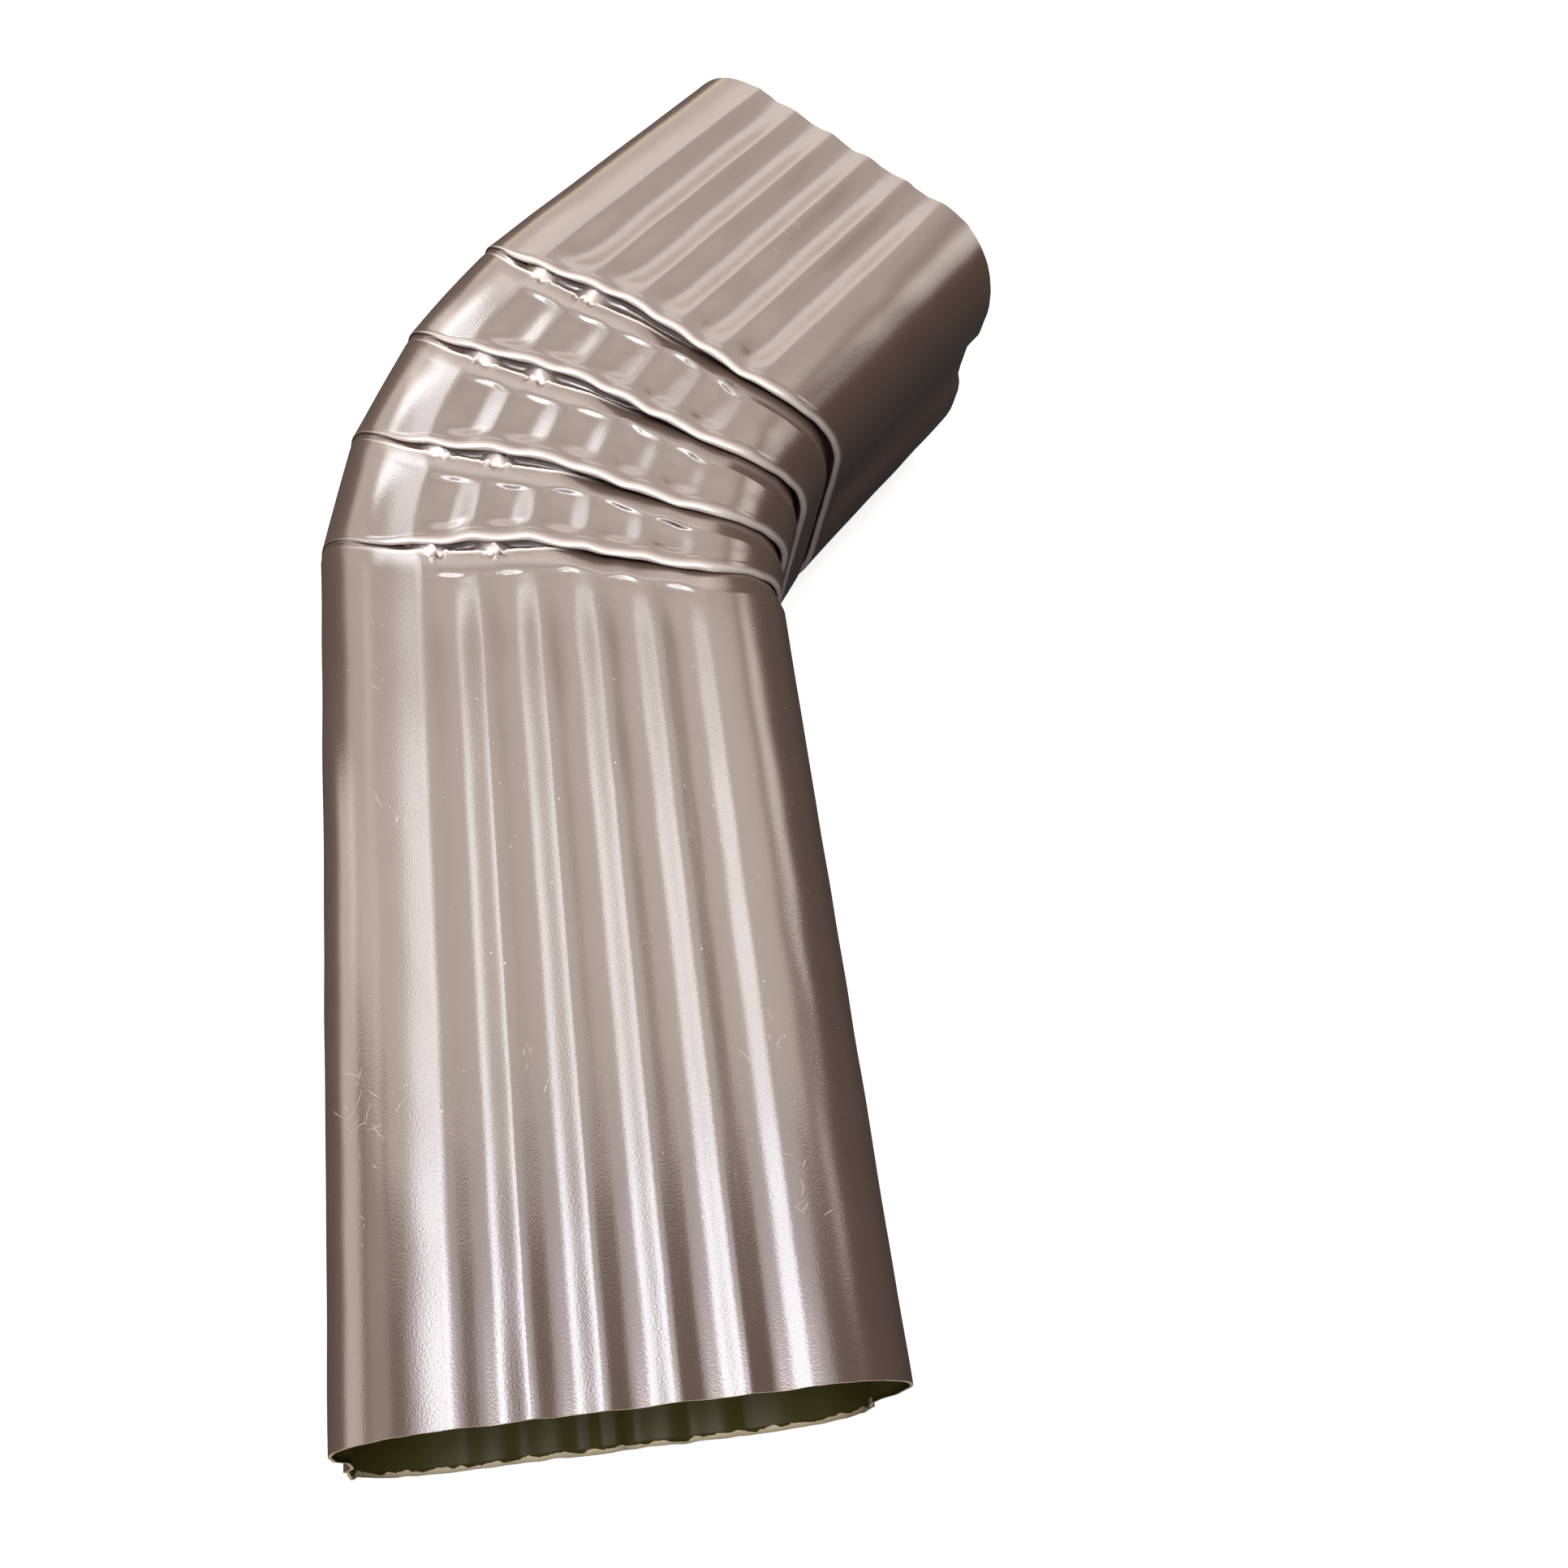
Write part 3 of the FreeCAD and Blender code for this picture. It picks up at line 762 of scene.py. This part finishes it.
# Scratches as thin strokes on the paint
def scratches():
    rng = np.random.default_rng(SCRATCH_SEED)
    sides = []
    faces = []
    t = np.linspace(-0.5, 0.5, SCRATCH_STEPS)
    for place_q, place_y, spread_q, spread_y, number, length, lean, lean_spread in SCRATCHES:
        for _ in range(number):
            reach = length * rng.uniform(*SCRATCH_REACH)
            angle = lean + lean_spread * rng.normal() + rng.normal() * SCRATCH_CURL * t
            stroke_q = place_q + spread_q * rng.normal() * SCRATCH_SPREAD + reach * t * np.sin(angle)
            stroke_y = place_y + spread_y * rng.normal() * SCRATCH_SPREAD + reach * t * np.cos(angle)
            thin = SCRATCH_WIDTH * rng.uniform(*SCRATCH_THIN) * np.sqrt(1.001 - (2 * t) ** 2)
            first = len(sides) * SCRATCH_STEPS
            for side in (-0.5, 0.5):
                side_q = stroke_q + side * thin * np.cos(angle)
                side_y = stroke_y - side * thin * np.sin(angle)
                sides.append(on_paint(side_q, side_y))
            for k in range(first, first + SCRATCH_STEPS - 1):
                faces.append([k, k + SCRATCH_STEPS, k + SCRATCH_STEPS + 1, k + 1])
    points = np.concatenate(sides)
    materials = [plain("scratched_paint", SCRATCHED, SCRATCH_ROUGH)]
    kinds = np.zeros(len(faces), dtype=np.int32)
    make_mesh("elbow_scratches", points, np.array(faces), materials, kinds, np.zeros_like(points), {})


# Inside of the sheet with the lock seam, and the cut edges of both rims
def inside():
    on_seam = (np.abs(flat_q - PITCH * FLUTES / 2) < SEAM_HALF) * (half < 0)
    thickness = SHEET + SEAM_HEIGHT * on_seam
    skin = grid - normal * thickness[None, :, None]
    skin_rows = []
    skin_travel = []
    for i, leg in enumerate(legs):
        kept = sorted(set(range(0, len(leg), INSIDE_STEP)) | {len(leg) - 1})
        skin_rows += [skin[leg_starts[i] + k] for k in kept]
        skin_travel += [travel[leg_starts[i] + k] for k in kept]
        if i <= LAST_CRIMP:
            skin_rows += [row[0] for row in under_folds[i]]
            skin_travel += [travel[leg_starts[i] + len(leg)]] * len(under_folds[i])
    points = np.concatenate([np.array(skin_rows).reshape(-1, 3), grid[0], grid[-1]])
    skin_faces = strip_faces(len(skin_rows), False)
    rim_first = len(skin_rows) * width
    edge = strip_faces(2, False)
    near_edge = np.where(edge < width, edge, edge - width + rim_first)
    far_edge = np.where(edge < width, edge + rim_first - width, edge + rim_first)[:, ::-1]
    faces = np.concatenate([skin_faces, near_edge, far_edge])
    kinds = np.concatenate([np.zeros(len(skin_faces)), np.ones(2 * width)]).astype(np.int32)
    places = np.broadcast_arrays(girth, np.array(skin_travel)[:, None], half[None, :])
    places = np.concatenate([np.stack(places, axis=2).reshape(-1, 3), unrolled[0], unrolled[-1]])
    materials = [olive_wash(), plain("cut_edge", BARE, EDGE_ROUGH)]
    make_mesh("elbow_inside", points, faces, materials, kinds, places, {})


outside()
scratches()
inside()


# Floor that the camera sees pale, of which reflections show a share
def pale_floor():
    bpy.ops.mesh.primitive_plane_add(size=FLOOR_SIZE)
    floor = bpy.context.object
    floor.name = "floor"
    material, tree, bsdf = shader("pale_floor")
    bsdf.inputs["Base Color"].default_value = FLOOR_DARK
    bsdf.inputs["Roughness"].default_value = 1.0
    bsdf.inputs["Specular IOR Level"].default_value = 0.0
    seen = add(tree, "BsdfDiffuse", {"Color": FLOOR_PALE})
    glow = add(tree, "Emission", {"Strength": FLOOR_GLOW})
    both = add(tree, "AddShader", {0: seen.outputs[0], 1: glow.outputs[0]})
    path = tree.nodes.new("ShaderNodeLightPath").outputs
    mirrored = math_node(tree, "MAXIMUM", path["Is Glossy Ray"], path["Is Transmission Ray"])
    shown = math_node(tree, "MULTIPLY_ADD", mirrored, FLOOR_MIRRORED, path["Is Camera Ray"], use_clamp=True)
    choice = add(tree, "MixShader", {0: shown, 1: bsdf.outputs[0], 2: both.outputs[0]})
    tree.links.new(choice.outputs[0], tree.nodes["Material Output"].inputs["Surface"])
    floor.data.materials.append(material)


# World that is white to the camera and dim to all else
def studio():
    world = bpy.data.worlds.new("studio")
    bpy.context.scene.world = world
    world.use_nodes = True
    tree = world.node_tree
    sky = tree.nodes["Background"]
    sky.inputs["Color"].default_value = WHITE
    sky.inputs["Strength"].default_value = SKY
    behind = add(tree, "Background", {"Color": WHITE, "Strength": 1.0})
    path = tree.nodes.new("ShaderNodeLightPath").outputs
    choice = add(tree, "MixShader", {0: path["Is Camera Ray"], 1: sky.outputs[0], 2: behind.outputs[0]})
    tree.links.new(choice.outputs[0], tree.nodes["World Output"].inputs["Surface"])


# From the lamps' frame to the scene's
def from_photo(point):
    across_it, along_it, up_it = point
    x = across_it / 1000 + low[0]
    y = along_it / 1000 + low[1]
    return Vector((x, y, (up_it + DEPTH + LIP_PROUD) / 1000))


def panel(name, centre, size, radiance, colour, aim=None):
    data = bpy.data.lights.new(name, "AREA")
    data.shape = "RECTANGLE"
    data.size = size[0] / 1000
    data.size_y = size[1] / 1000
    data.energy = radiance * 4 * data.size * data.size_y
    data.color = colour
    lamp = bpy.data.objects.new(name, data)
    lamp.visible_camera = False
    bpy.context.collection.objects.link(lamp)
    lamp.location = from_photo(centre)
    target = from_photo(aim or (centre[0], centre[1], 0))
    lamp.rotation_euler = (target - lamp.location).to_track_quat("-Z", "Y").to_euler()


def photo_camera():
    data = bpy.data.cameras.new("camera")
    data.sensor_width = SENSOR
    data.lens = FOCAL / PIXELS * SENSOR
    data.shift_x = (PIXELS / 2 - CENTRE_X) / PIXELS
    data.shift_y = (CENTRE_Y - PIXELS / 2) / PIXELS
    data.clip_start = CLIP_START
    camera = bpy.data.objects.new("camera", data)
    bpy.context.collection.objects.link(camera)
    turned = Matrix.Rotation(TURN_AXIS.length, 3, TURN_AXIS.normalized())
    axes = Matrix((turned[0], -turned[1], -turned[2])).transposed()
    camera.matrix_world = Matrix.Translation(from_photo(CAMERA_AT)) @ axes.to_4x4()
    bpy.context.scene.camera = camera


pale_floor()
studio()
for row in PANELS:
    panel(*row)
photo_camera()
